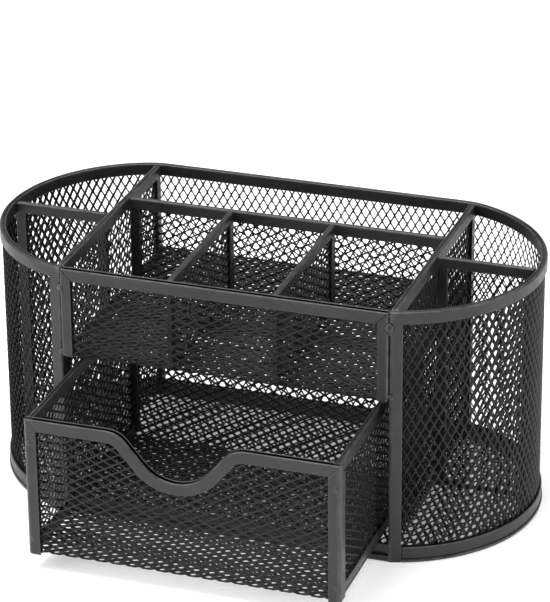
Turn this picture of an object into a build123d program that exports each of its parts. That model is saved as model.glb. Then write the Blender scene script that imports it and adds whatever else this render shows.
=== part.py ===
from build123d import *
import os
from math import sqrt, sin, cos, pi

# Mesh desk organiser: two half-round end cups either side of a straight
# centre section with small compartments above and a sliding drawer below.
# Millimetres, +Z up, the drawer opens towards -Y.  The origin is on the
# resting surface, under the middle of the whole footprint with the drawer
# pulled out as it stands at rest.

# ---------------------------------------------------------------- dimensions
HEIGHT = 108.5          # resting surface to the top of the rim
HALF_C = 69.0           # centre plane of each main divider
HALF_D = 56.0           # centre line of the back wall and of the front corners
SAGITTA = 42.8          # how far each curved end stands out past its divider
SHEET = 0.8             # thickness over the expanded sheet
CHAN = 2.6              # outside thickness of the folded edge channels
CHAN_S = 2.2            # the lighter channels on dividers and drawer sides
FOLD = 0.9              # depth of the closed fold of a channel
W_TOP = 5.0             # leg height of the top channels
W_SIDE = 4.4            # leg width of the upright channels
W_POST = 4.6            # corner post width along the wall
W_CUP = 4.5             # leg height of the cup dividers' top channels
W_DSIDE = 5.0           # upright channels of the drawer front
W_SMALL = 4.2           # top channels of the small dividers
GAP = 0.8               # gap between the tray front and the corner posts

RING_H = 6.6            # base ring, outer leg
RING_IN = 6.0           # base ring, inner leg
RING_WEB = 1.2
FLOOR_Z = 6.0           # underside of the base sheet
FLOOR_TOP = FLOOR_Z + SHEET

TRAY_Z = 69.8           # underside of the upper tray floor
TRAY_FACE = -58.5       # outer face of the tray front
BEND = 1.6              # outside radius of a folded sheet

CROSS_Y = 18.2          # divider behind the small compartments
SMALL_X = (-22.8, 20.9) # the two small dividers
CUP_Y = -0.7            # dividers across the end cups

DRAWER_HALF = 64.4      # half the drawer's outside width
DRAWER_Z0 = 7.2         # underside of the drawer
DRAWER_Z1 = 66.3        # top of the drawer
DRAWER_OUT = 48.5       # how far it is pulled out at rest
DRAWER_LEN = 110.0      # front face to back face
NOTCH_X = -2.1          # centre of the finger notch
NOTCH_D = 18.2          # depth
NOTCH_R1 = 10.5         # radius of its shoulders
NOTCH_R2 = 17.0         # radius of its bottom
NOTCH_A = 50 * pi / 180 # slope of its flanks

# ---------------------------------------------------------------- derived
RAD = (HALF_D ** 2 + SAGITTA ** 2) / (2 * SAGITTA)
CEN = HALF_C + SAGITTA - RAD
DF = TRAY_FACE - DRAWER_OUT             # drawer front face at rest
DB = DF + DRAWER_LEN                    # drawer back face at rest
SHIFT = -(DF + HALF_D + CHAN / 2) / 2   # puts the origin mid footprint
NOTCH_W = ((NOTCH_R1 + NOTCH_R2) * sin(NOTCH_A)
           + (NOTCH_D - (NOTCH_R1 + NOTCH_R2) * (1 - cos(NOTCH_A)))
           / (sin(NOTCH_A) / cos(NOTCH_A)))  # half width at the top
os.makedirs("parts", exist_ok=True)
BIG = 400.0


def box(x0, x1, y0, y1, z0, z1):
    """A block between two corners."""
    return Pos((x0 + x1) / 2, (y0 + y1) / 2, (z0 + z1) / 2) * Box(
        abs(x1 - x0), abs(y1 - y0), abs(z1 - z0))


def save(name, shape):
    shape = Pos(0, SHIFT, 0) * shape
    export_step(shape, "parts/" + name + ".step")
    print(name, len(shape.solids()), round(shape.volume, 1))


def outline(o):
    """Plan of the footprint, its edge moved outwards by o."""
    r = RAD + o
    h = HALF_D + o
    x = CEN + sqrt(r * r - h * h)
    a, b, c, d = (-x, h), (x, h), (x, -h), (-x, -h)
    edges = [
        Line(a, b),
        ThreePointArc(b, (CEN + r, 0), c),
        Line(c, d),
        ThreePointArc(d, (-CEN - r, 0), a),
    ]
    return make_face(Wire(edges))


def prism(o, z0, z1):
    return Pos(0, 0, z0) * extrude(outline(o), z1 - z0)


def band(o_in, o_out, z0, z1):
    return prism(o_out, z0, z1) - prism(o_in, z0, z1)


def front_gap(x, z0, z1):
    """The open stretch of wall between the two front corners."""
    return box(-x, x, -HALF_D - 8, -HALF_D + 8, z0, z1)


def soften(shape, axis_dir, z, r):
    """Round the two long upper edges of a channel."""
    es = [e for e in shape.edges()
          if abs(e.center().Z - z) < 1e-4 and e.length > 4.5]
    try:
        return fillet(es, r)
    except Exception:
        return shape


def chan_x(x0, x1, y, z_top, width, t, r=0.7):
    """Channel running along X, legs hanging down from z_top."""
    s = box(x0, x1, y - t / 2, y + t / 2, z_top - width, z_top)
    es = [e for e in s.edges().filter_by(Axis.X) if e.center().Z > z_top - 0.01]
    s = fillet(es, r)
    return s - box(x0 - 1, x1 + 1, y - SHEET / 2, y + SHEET / 2,
                   z_top - width - 1, z_top - FOLD)


def chan_y(y0, y1, x, z_top, width, t, r=0.7):
    """Channel running along Y, legs hanging down from z_top."""
    s = box(x - t / 2, x + t / 2, y0, y1, z_top - width, z_top)
    es = [e for e in s.edges().filter_by(Axis.Y) if e.center().Z > z_top - 0.01]
    s = fillet(es, r)
    return s - box(x - SHEET / 2, x + SHEET / 2, y0 - 1, y1 + 1,
                   z_top - width - 1, z_top - FOLD)


def chan_y_up(y0, y1, x, z_low, width, t, r=0.7):
    """Channel running along Y, legs standing up from z_low."""
    s = box(x - t / 2, x + t / 2, y0, y1, z_low, z_low + width)
    es = [e for e in s.edges().filter_by(Axis.Y) if e.center().Z < z_low + 0.01]
    s = fillet(es, r)
    return s - box(x - SHEET / 2, x + SHEET / 2, y0 - 1, y1 + 1,
                   z_low + FOLD, z_low + width + 1)


def post_xz(x_out, sgn, y, z0, z1, width, t, r=0.7):
    """Upright channel in a panel that lies along X: closed fold at x_out,
    legs running by sgn along X."""
    x_in = x_out + sgn * width
    s = box(x_out, x_in, y - t / 2, y + t / 2, z0, z1)
    es = [e for e in s.edges().filter_by(Axis.Z) if abs(e.center().X - x_out) < 0.01]
    s = fillet(es, r)
    return s - box(x_out + sgn * FOLD, x_in + sgn, y - SHEET / 2, y + SHEET / 2,
                   z0 - 1, z1 + 1)


def post_yz(y_out, sgn, x, z0, z1, width, t, r=0.7):
    """Upright channel in a panel that lies along Y."""
    y_in = y_out + sgn * width
    s = box(x - t / 2, x + t / 2, y_out, y_in, z0, z1)
    es = [e for e in s.edges().filter_by(Axis.Z) if abs(e.center().Y - y_out) < 0.01]
    s = fillet(es, r)
    return s - box(x - SHEET / 2, x + SHEET / 2, y_out + sgn * FOLD, y_in + sgn,
                   z0 - 1, z1 + 1)


def mitre_x(x_corner, sgn, z_corner, y, keep_top):
    """Wedge that cuts a 45 degree mitre where a top channel meets an
    upright one; keep_top says which of the two is being cut."""
    L = 12.0
    if keep_top:
        pts = [(x_corner - sgn * 1, z_corner + 1), (x_corner - sgn * 1, z_corner - L),
               (x_corner + sgn * (L), z_corner - L)]
    else:
        pts = [(x_corner - sgn * 1, z_corner + 1), (x_corner + sgn * L, z_corner + 1),
               (x_corner + sgn * L, z_corner - L)]
    w = Wire([Line(pts[0], pts[1]), Line(pts[1], pts[2]), Line(pts[2], pts[0])])
    f = make_face(w)
    return Pos(0, y + 6, 0) * (Rot(90, 0, 0) * extrude(f, 12))


# ---------------------------------------------------------------- the shell
H_IN = HEIGHT - FOLD
PX = HALF_C + W_POST - FOLD             # posts reach this far out in X

shell = band(-SHEET / 2, SHEET / 2, RING_WEB, H_IN) - front_gap(HALF_C, 0, HEIGHT + 1)
save("shell_mesh", shell)

rim = band(-CHAN / 2, CHAN / 2, HEIGHT - W_TOP, HEIGHT)
rim = rim - front_gap(HALF_C - FOLD, 0, HEIGHT + 1)
tops = [e for e in rim.edges() if abs(e.center().Z - HEIGHT) < 1e-4 and e.length > 20]
try:
    rim = fillet(tops, 0.7)
except Exception:
    print("rim fold left square")
slot = band(-SHEET / 2, SHEET / 2, HEIGHT - W_TOP - 1, H_IN) - front_gap(HALF_C, 0, HEIGHT + 1)
rim = rim - slot
save("top_rim", rim)

blockers = {}
for side, sgn in (("left", -1), ("right", 1)):
    x_lo = HALF_C - FOLD
    region = box(sgn * x_lo, sgn * PX, -HALF_D - 8, -HALF_D + 14, -1, HEIGHT)
    post = band(-CHAN / 2, CHAN / 2, 0, HEIGHT - W_TOP) & region
    groove = (band(-SHEET / 2, SHEET / 2, RING_WEB, HEIGHT)
              & box(sgn * HALF_C, sgn * (PX + 5), -HALF_D - 8, -HALF_D + 14, RING_WEB, HEIGHT))
    post = post - groove
    save("corner_post_" + side, post)
    blockers[sgn] = [post]

ring = band(-SHEET / 2 - SHEET - FOLD, CHAN / 2, 0, RING_H)
ring = ring - band(-SHEET / 2 - SHEET, SHEET / 2, RING_WEB, RING_H + 1)
ring = ring - band(-SHEET / 2 - SHEET - FOLD - 1, -SHEET / 2 - SHEET, RING_IN, RING_H + 1)
for sgn in (-1, 1):
    ring = ring - (band(-CHAN / 2, CHAN / 2 + 1, -1, RING_H + 1)
                   & box(sgn * (HALF_C - FOLD), sgn * PX, -HALF_D - 8, -HALF_D + 14, -1, RING_H + 1))
save("base_ring", ring)

floor = prism(-SHEET / 2, FLOOR_Z, FLOOR_TOP)
skirt = band(-SHEET / 2 - SHEET, -SHEET / 2, RING_WEB, FLOOR_TOP)
floor = floor + skirt
for sgn in (-1, 1):
    # cut back behind the corner posts
    floor = floor - (band(-CHAN / 2, CHAN / 2, -1, FLOOR_TOP + 1)
                     & box(sgn * (HALF_C - FOLD), sgn * PX, -HALF_D - 8, -HALF_D + 14, -1, FLOOR_TOP + 1))
save("base_mesh", floor)

# ------------------------------------------------- main dividers (full height)
Y_BACK = HALF_D - CHAN / 2              # inner face of the back rim
Y_FRONT = -HALF_D + CHAN / 2            # inner face of the corner posts
EASE = 0.6                              # the wall curves in behind the corners
for side, sgn in (("left", -1), ("right", 1)):
    x = sgn * HALF_C
    ya, yb = Y_FRONT + EASE, Y_BACK - EASE
    y0, y1 = ya + FOLD, yb - FOLD
    save("main_divider_mesh_" + side,
         box(x - SHEET / 2, x + SHEET / 2, y0, y1, FLOOR_TOP, H_IN))
    save("main_divider_top_strip_" + side,
         chan_y(ya, yb, x, HEIGHT, W_TOP, CHAN))
    save("main_divider_front_strip_" + side,
         post_yz(ya, 1, x, FLOOR_TOP, HEIGHT - W_TOP, W_SIDE, CHAN))
    save("main_divider_back_strip_" + side,
         post_yz(yb, -1, x, FLOOR_TOP, HEIGHT - W_TOP, W_SIDE, CHAN))

# ------------------------------------------------- dividers across the end cups
X_IN = HALF_C + CHAN / 2
X_OUT = CEN + RAD - CHAN / 2 - 0.05
for side, sgn in (("left", -1), ("right", 1)):
    save("cup_divider_mesh_" + side,
         box(sgn * (X_IN + FOLD), sgn * (X_OUT - FOLD), CUP_Y - SHEET / 2, CUP_Y + SHEET / 2,
             FLOOR_TOP, H_IN))
    top = chan_x(min(sgn * X_IN, sgn * X_OUT), max(sgn * X_IN, sgn * X_OUT), CUP_Y,
                 HEIGHT, W_CUP, CHAN_S)
    save("cup_divider_top_strip_" + side, top)
    save("cup_divider_inner_strip_" + side,
         post_xz(sgn * X_IN, sgn, CUP_Y, FLOOR_TOP, HEIGHT - W_CUP, W_SIDE, CHAN_S))
    save("cup_divider_outer_strip_" + side,
         post_xz(sgn * X_OUT, -sgn, CUP_Y, FLOOR_TOP, HEIGHT - W_CUP, W_SIDE, CHAN_S))

# ------------------------------------------------- upper tray
TX = HALF_C - FOLD - GAP                # half width of the tray front
TYC = TRAY_FACE + CHAN / 2              # centre plane of the tray front sheet
TXF = HALF_C - SHEET / 2                # tray floor reaches the dividers


def folded(face_y, back_y, z0, z_front, z_back, x0, x1, back):
    """Side profile of a sheet folded up at the front, and at the back if
    back is true, swept along X.  face_y and back_y are outer faces."""
    t, r = SHEET, BEND
    k = r * (1 - cos(pi / 4))
    ki = (r - t) * (1 - cos(pi / 4))
    e = [Line((face_y, z_front), (face_y, z0 + r)),
         ThreePointArc((face_y, z0 + r), (face_y + k, z0 + k), (face_y + r, z0))]
    if back:
        e += [Line((face_y + r, z0), (back_y - r, z0)),
              ThreePointArc((back_y - r, z0), (back_y - k, z0 + k), (back_y, z0 + r)),
              Line((back_y, z0 + r), (back_y, z_back)),
              Line((back_y, z_back), (back_y - t, z_back)),
              Line((back_y - t, z_back), (back_y - t, z0 + r)),
              ThreePointArc((back_y - t, z0 + r), (back_y - t - ki, z0 + t + ki),
                            (back_y - r, z0 + t)),
              Line((back_y - r, z0 + t), (face_y + r, z0 + t))]
    else:
        e += [Line((face_y + r, z0), (back_y, z0)),
              Line((back_y, z0), (back_y, z0 + t)),
              Line((back_y, z0 + t), (face_y + r, z0 + t))]
    e += [ThreePointArc((face_y + r, z0 + t), (face_y + t + ki, z0 + t + ki),
                        (face_y + t, z0 + r)),
          Line((face_y + t, z0 + r), (face_y + t, z_front)),
          Line((face_y + t, z_front), (face_y, z_front))]
    face = make_face(Wire(e))                     # drawn as (y, z)
    solid = extrude(face, x1 - x0)                # along the drawing's normal
    return Pos(x0, 0, 0) * (Rot(0, 0, 90) * (Rot(90, 0, 0) * solid))


tray = folded(TYC - SHEET / 2, HALF_D - SHEET / 2, TRAY_Z, H_IN, 0, -TXF, TXF, False)
# the upright front is narrower than the floor, and the floor is cut round
# the upright channels of the main dividers
for sgn in (-1, 1):
    tray = tray - box(sgn * (TX - FOLD), sgn * (TXF + 2), TRAY_FACE - 2, Y_FRONT, TRAY_Z - 1, HEIGHT)
    tray = tray - box(sgn * (HALF_C - CHAN / 2), sgn * (TXF + 2), Y_FRONT - 1, Y_FRONT + EASE + W_SIDE,
                      TRAY_Z - 1, HEIGHT)
    tray = tray - box(sgn * (HALF_C - CHAN / 2), sgn * (TXF + 2), Y_BACK - EASE - W_SIDE, Y_BACK + 2,
                      TRAY_Z - 1, HEIGHT)
save("tray_mesh", tray)

tt = chan_x(-TX, TX, TYC, HEIGHT, W_TOP, CHAN)
for sgn in (-1, 1):
    tt = tt - mitre_x(sgn * TX, -sgn, HEIGHT, TYC, True)
save("tray_top_strip", tt)
for side, sgn in (("left", -1), ("right", 1)):
    st = post_xz(sgn * TX, -sgn, TYC, TRAY_Z + BEND, HEIGHT, W_SIDE, CHAN)
    st = st - box(-BIG, BIG, TYC - SHEET / 2, TYC + SHEET / 2, H_IN, HEIGHT + 1)
    st = st - mitre_x(sgn * TX, -sgn, HEIGHT, TYC, False)
    save("tray_side_strip_" + side, st)
    blockers[sgn].append(st)

# ------------------------------------------------- dividers inside the tray
Z_TF = TRAY_Z + SHEET
XD = HALF_C - CHAN / 2
save("cross_divider_mesh", box(-XD + FOLD, XD - FOLD, CROSS_Y - SHEET / 2, CROSS_Y + SHEET / 2, Z_TF, H_IN))
save("cross_divider_top_strip", chan_x(-XD, XD, CROSS_Y, HEIGHT, W_TOP, CHAN_S))
for side, sgn in (("left", -1), ("right", 1)):
    save("cross_divider_side_strip_" + side,
         post_xz(sgn * XD, -sgn, CROSS_Y, Z_TF, HEIGHT - W_TOP, W_SIDE, CHAN_S))
Y_S0 = TRAY_FACE + CHAN                 # inner face of the tray's top channel
Y_S1 = CROSS_Y - CHAN_S / 2
for side, x in (("left", SMALL_X[0]), ("right", SMALL_X[1])):
    save("small_divider_mesh_" + side,
         box(x - SHEET / 2, x + SHEET / 2, Y_S0 + FOLD, Y_S1 - FOLD, Z_TF, H_IN))
    save("small_divider_top_strip_" + side,
         chan_y(Y_S0, Y_S1, x, HEIGHT, W_SMALL, CHAN_S))
    save("small_divider_front_strip_" + side,
         post_yz(Y_S0, 1, x, Z_TF, HEIGHT - W_SMALL, W_SIDE, CHAN_S))
    save("small_divider_back_strip_" + side,
         post_yz(Y_S1, -1, x, Z_TF, HEIGHT - W_SMALL, W_SIDE, CHAN_S))

# ------------------------------------------------- drawer
DX = DRAWER_HALF
DYC = DF + CHAN / 2                     # centre plane of the drawer front sheet
D_IN = DRAWER_Z1 - FOLD


def notch_cut(z_top, grow):
    """Solid cut out of the front for the notch: round shoulders, straight
    flanks and a round bottom.  grow moves the outline into the panel."""
    hi = 90.0
    sa, ca = sin(NOTCH_A), cos(NOTCH_A)
    r1, r2 = NOTCH_R1 - grow, NOTCH_R2 + grow
    zs = z_top - NOTCH_R1
    zb = z_top - NOTCH_D + NOTCH_R2
    h = NOTCH_A / 2

    def q(sgn, x, z):
        return (NOTCH_X + sgn * x, z)

    def half(sgn):
        a = q(sgn, NOTCH_W, zs + r1)
        m = q(sgn, NOTCH_W - r1 * sin(h), zs + r1 * cos(h))
        b = q(sgn, NOTCH_W - r1 * sa, zs + r1 * ca)
        c = q(sgn, r2 * sa, zb - r2 * ca)
        return a, m, b, c

    a, m, b, c = half(-1)
    a2, m2, b2, c2 = half(1)
    e = [Line((a[0], hi), a), ThreePointArc(a, m, b), Line(b, c),
         ThreePointArc(c, (NOTCH_X, zb - r2), c2), Line(c2, b2),
         ThreePointArc(b2, m2, a2), Line(a2, (a2[0], hi)), Line((a2[0], hi), (a[0], hi))]
    f = make_face(Wire(e))
    return Pos(0, DF + 8, 0) * (Rot(90, 0, 0) * extrude(f, 16))


d_mesh = folded(DYC - SHEET / 2, DB - CHAN_S / 2 + SHEET / 2, DRAWER_Z0, D_IN, D_IN,
                -(DX - 0.2 - FOLD), DX - 0.2 - FOLD, True)
d_mesh = d_mesh - notch_cut(DRAWER_Z1, FOLD)
# leave room for the side panels' channels along the floor's edges
for sgn in (-1, 1):
    d_mesh = d_mesh - box(sgn * (DX - FOLD - CHAN_S), sgn * (DX + 1), DF + CHAN, DB - CHAN_S,
                          DRAWER_Z0 - 1, DRAWER_Z1 + 1)
    d_mesh = d_mesh - box(sgn * (DX - W_DSIDE), sgn * (DX + 1), DF - 1, DF + CHAN,
                          DRAWER_Z0 - 1, DRAWER_Z0 + 1.7)
save("drawer_mesh", d_mesh)

# scalloped channel along the top of the front
bar = box(-DX, DX, DF, DF + CHAN, DRAWER_Z1 - W_TOP - NOTCH_D - 2, DRAWER_Z1)
upper = bar - notch_cut(DRAWER_Z1, 0)
lower = (box(-DX - 1, DX + 1, DF - 1, DF + CHAN + 1, 0, DRAWER_Z1 - W_TOP)
         - notch_cut(DRAWER_Z1, W_TOP))
rimf = upper - lower
hollow = box(-DX - 1, DX + 1, DYC - SHEET / 2, DYC + SHEET / 2, 0, D_IN) - notch_cut(DRAWER_Z1, FOLD)
rimf = rimf - hollow
for sgn in (-1, 1):
    rimf = rimf - mitre_x(sgn * DX, -sgn, DRAWER_Z1, DYC, True)
save("drawer_front_rim", rimf)

for side, sgn in (("left", -1), ("right", 1)):
    st = post_xz(sgn * DX, -sgn, DYC, DRAWER_Z0, DRAWER_Z1, W_DSIDE, CHAN)
    leg = box(sgn * (DX - FOLD), sgn * DX, DYC, DF + CHAN + 3.4, DRAWER_Z0, DRAWER_Z1 - W_TOP)
    leg = leg - box(-BIG, BIG, DYC - SHEET / 2, DYC + SHEET / 2, 0, 100)
    st = st - mitre_x(sgn * DX, -sgn, DRAWER_Z1, DYC, False)
    st = st + leg
    save("drawer_front_strip_" + side, st)
    # side panel, set inside the corner strip's return leg
    xs = sgn * (DX - FOLD - CHAN_S / 2)
    ys0, ys1 = DF + CHAN, DB - CHAN_S
    save("drawer_side_mesh_" + side,
         box(xs - SHEET / 2, xs + SHEET / 2, ys0, ys1, DRAWER_Z0 + FOLD, D_IN))
    save("drawer_side_top_strip_" + side,
         chan_y(ys0, ys1, xs, DRAWER_Z1, W_TOP, CHAN_S))
    save("drawer_side_bottom_strip_" + side,
         chan_y_up(ys0, ys1, xs, DRAWER_Z0, W_TOP, CHAN_S))
    save("drawer_back_strip_" + side,
         post_xz(sgn * (DX - 0.2), -sgn, DB - CHAN_S / 2, DRAWER_Z0 + BEND + 0.2,
                 DRAWER_Z1 - W_TOP, W_SIDE, CHAN_S))
save("drawer_back_top_strip",
     chan_x(-DX + 0.2, DX - 0.2, DB - CHAN_S / 2, DRAWER_Z1, W_TOP, CHAN_S))


# ------------------------------------------------- spot welds
def dome(x, y, z, r, h, ax):
    """Low round weld button, its flat on the plane through (x, y, z)."""
    R = (r * r + h * h) / (2 * h)
    ball = Pos(0, 0, h - R) * Sphere(R)
    cap = ball & box(-9, 9, -9, 9, 0, 9)
    if ax == "-Y":
        cap = Rot(90, 0, 0) * cap
    elif ax == "+X":
        cap = Rot(0, 90, 0) * cap
    elif ax == "-X":
        cap = Rot(0, -90, 0) * cap
    return Pos(x, y, z) * cap


def bead(sgn, z, r, h):
    """Weld bead over the gap between the tray front and a post: a round
    button on the strip's face with a tongue that fills the gap."""
    b = dome(sgn * (TX + 0.4), TRAY_FACE, z, r, h, "-Y")
    tongue = box(sgn * TX, sgn * (HALF_C - FOLD), TRAY_FACE - 0.3,
                 TRAY_FACE + 1.5, z - 0.6 * r, z + 0.6 * r)
    return b + tongue


welds = []
for sgn, z_hi, r_hi in ((-1, 100.1, 1.5), (1, 102.0, 2.0)):
    welds.append(bead(sgn, z_hi, r_hi, 0.8))
    welds.append(bead(sgn, TRAY_Z + 3.0, 1.5, 0.8))
save("stand_weld_spots", Compound(children=[b.solids()[0] for b in welds]))
dw = []
for sgn in (-1, 1):
    for z in (56.2, 14.0):
        dw.append(dome(sgn * (DX - 1.9), DF, z, 1.2, 0.45, "-Y"))
save("drawer_weld_spots", Compound(children=dw))
print("SHIFT", SHIFT, "DF", DF + SHIFT, "DB", DB + SHIFT, "RAD", RAD, "CEN", CEN)
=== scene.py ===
import math

import bmesh
import bpy
import numpy as np
from mathutils import Matrix, Vector
from mathutils.geometry import tessellate_polygon


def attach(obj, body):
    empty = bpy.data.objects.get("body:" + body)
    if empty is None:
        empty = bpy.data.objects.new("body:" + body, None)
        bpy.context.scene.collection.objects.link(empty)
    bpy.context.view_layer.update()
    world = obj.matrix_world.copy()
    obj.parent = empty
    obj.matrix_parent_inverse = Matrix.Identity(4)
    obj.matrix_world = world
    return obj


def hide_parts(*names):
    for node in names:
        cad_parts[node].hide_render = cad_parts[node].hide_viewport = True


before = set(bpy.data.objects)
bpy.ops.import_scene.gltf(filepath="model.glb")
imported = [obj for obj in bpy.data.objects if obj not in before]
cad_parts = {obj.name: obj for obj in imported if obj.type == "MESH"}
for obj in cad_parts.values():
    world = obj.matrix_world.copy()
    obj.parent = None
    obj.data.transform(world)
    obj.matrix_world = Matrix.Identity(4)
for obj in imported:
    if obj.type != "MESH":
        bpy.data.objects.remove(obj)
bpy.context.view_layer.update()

# ------------------------------------------------------------------ numbers
# Millimetres, in the stand's own plan: the footprint's middle is at y = 0.
# Everything is moved by SHIFT along y and turned into metres when it is built.
SHIFT = 24.85
HEIGHT = 108.5
HALF_C = 69.0
HALF_D = 56.0
SAG = 42.8
FOLD = 0.9
CH = 1.3                      # half thickness of the heavy channels
CS = 1.1                      # half thickness of the light channels
W_TOP, W_SIDE, W_POST, W_CUP, W_DSIDE, W_SMALL = 5.0, 4.4, 4.6, 4.5, 5.0, 4.2
GAP = 0.8
RING_H, RING_IN = 6.6, 6.0
FLOOR_TOP = 6.8
TRAY_Z, TRAY_FACE = 69.8, -58.5
CROSS_Y, CUP_Y = 18.2, -0.7
SMALL_X = (-22.8, 20.9)
DX = 64.4
DZ0, DZ1 = 7.2, 66.3
DF = TRAY_FACE - 48.5
DB = DF + 110.0
NX, ND, NR1, NR2, NA = -2.1, 18.2, 10.5, 17.0, math.radians(50)
RAD = (HALF_D ** 2 + SAG ** 2) / (2 * SAG)
CEN = HALF_C + SAG - RAD
TYC = TRAY_FACE + CH
DYC = DF + CH
H_IN = HEIGHT - FOLD
TX = HALF_C - FOLD - GAP
LWD, SWD = 3.2, 1.8           # half pitches of the diamonds


# ------------------------------------------------------------------ helpers
def unit(v):
    v = np.asarray(v, float)
    return v / np.linalg.norm(v)


def mesh_object(name, V, polys, mat, body, nodes, wear_and_groove_shade=None, smooth=None):
    """Closed mesh from numpy arrays; faces are turned outwards if need be."""
    V = np.array(V, float)
    V[:, 1] += SHIFT
    V *= 0.001
    polys = [np.asarray(p, np.int64) for p in polys if len(p)]
    used = np.unique(np.concatenate([p.ravel() for p in polys]))
    renum = np.full(len(V), -1, np.int64)
    renum[used] = np.arange(len(used))
    V = V[used]
    if wear_and_groove_shade is not None:
        wear_and_groove_shade = np.asarray(wear_and_groove_shade, float)[used]
    polys = [renum[p] for p in polys]
    vol = 0.0
    for p in polys:
        a = V[p[:, 0]]
        for k in range(1, p.shape[1] - 1):
            vol += float(np.einsum("ij,ij->", a, np.cross(V[p[:, k]], V[p[:, k + 1]])))
    if vol < 0:
        polys = [p[:, ::-1] for p in polys]
    loops = np.concatenate([p.ravel() for p in polys]).astype(np.int32)
    counts = np.concatenate([np.full(len(p), p.shape[1]) for p in polys])
    starts = np.concatenate([[0], np.cumsum(counts)[:-1]]).astype(np.int32)
    me = bpy.data.meshes.new(name)
    me.vertices.add(len(V))
    me.vertices.foreach_set("co", V.astype(np.float32).ravel())
    me.loops.add(len(loops))
    me.loops.foreach_set("vertex_index", loops)
    me.polygons.add(len(counts))
    me.polygons.foreach_set("loop_start", starts)
    me.update(calc_edges=True)
    me.validate()
    if wear_and_groove_shade is not None:
        at = me.attributes.new("wear_and_groove_shade", "FLOAT", "POINT")
        at.data.foreach_set("value", wear_and_groove_shade.astype(np.float32))
    if smooth is not None:
        bm = bmesh.new()
        bm.from_mesh(me)
        for f in bm.faces:
            f.smooth = True
        for e in bm.edges:
            e.smooth = len(e.link_faces) == 2 and e.calc_face_angle(0) < smooth
        bm.to_mesh(me)
        bm.free()
    me.materials.append(mat)
    ob = bpy.data.objects.new(name, me)
    bpy.context.scene.collection.objects.link(ob)
    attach(ob, body)
    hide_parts(*nodes)
    return ob


class Way:
    """Plane path of lines and arcs; at(s, o) is the point at length s, moved
    by o to the left of the way it runs."""

    def __init__(self, x, y, heading):
        self.segs, self.p, self.h, self.length = [], np.array([x, y], float), heading, 0.0

    def line(self, L):
        self.segs.append((self.length, L, self.p.copy(), self.h, 0.0))
        self.p = self.p + L * np.array([math.cos(self.h), math.sin(self.h)])
        self.length += L
        return self

    def arc(self, r, turn):
        """turn is positive to the left."""
        L = r * abs(turn)
        k = math.copysign(1 / r, turn)
        self.segs.append((self.length, L, self.p.copy(), self.h, k))
        n = np.array([-math.sin(self.h), math.cos(self.h)])
        c = self.p + n / k
        h2 = self.h + turn
        self.p = c - np.array([-math.sin(h2), math.cos(h2)]) / k
        self.h = h2
        self.length += L
        return self

    def at(self, s, o):
        s = np.asarray(s, float)
        o = np.broadcast_to(np.asarray(o, float), s.shape)
        X, Y = np.zeros(s.shape), np.zeros(s.shape)
        for i, (s0, L, p, h, k) in enumerate(self.segs):
            m = np.ones(s.shape, bool)
            if i > 0:
                m &= s >= s0
            if i < len(self.segs) - 1:
                m &= s < s0 + L
            t = s[m] - s0
            th = h + k * t
            nx, ny = -np.sin(th), np.cos(th)
            if k == 0:
                bx, by = p[0] + t * math.cos(h), p[1] + t * math.sin(h)
            else:
                cx, cy = p[0] - math.sin(h) / k, p[1] + math.cos(h) / k
                bx, by = cx - nx / k, cy - ny / k
            X[m], Y[m] = bx + o[m] * nx, by + o[m] * ny
        return X, Y

    def stations(self, straight, bend):
        out = [0.0]
        for s0, L, p, h, k in self.segs:
            n = max(1, int(round(L / (bend if k else straight))))
            out += [s0 + L * (i + 1) / n for i in range(n)]
        return np.array(out)


def wall_way(x0):
    """Centre line of the outer wall, from the right front corner round the
    back to the left front corner.  x0 is where it starts."""
    rf = 25.0
    a0 = math.atan2(-math.sqrt(RAD ** 2 - (x0 - CEN) ** 2), x0 - CEN)
    dxf = math.sqrt((RAD - rf) ** 2 - (HALF_D - rf) ** 2)
    af = math.atan2(HALF_D - rf, dxf)
    w = Way(CEN + RAD * math.cos(a0), RAD * math.sin(a0), a0 + math.pi / 2)
    w.arc(RAD, af - a0).arc(rf, math.pi / 2 - af).line(2 * (CEN + dxf))
    w.arc(rf, math.pi / 2 - af).arc(RAD, af - a0)
    return w


# ------------------------------------------------------------------ paint
def node(nt, kind, **kw):
    n = nt.nodes.new(kind)
    for k, v in kw.items():
        setattr(n, k, v)
    return n


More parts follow.
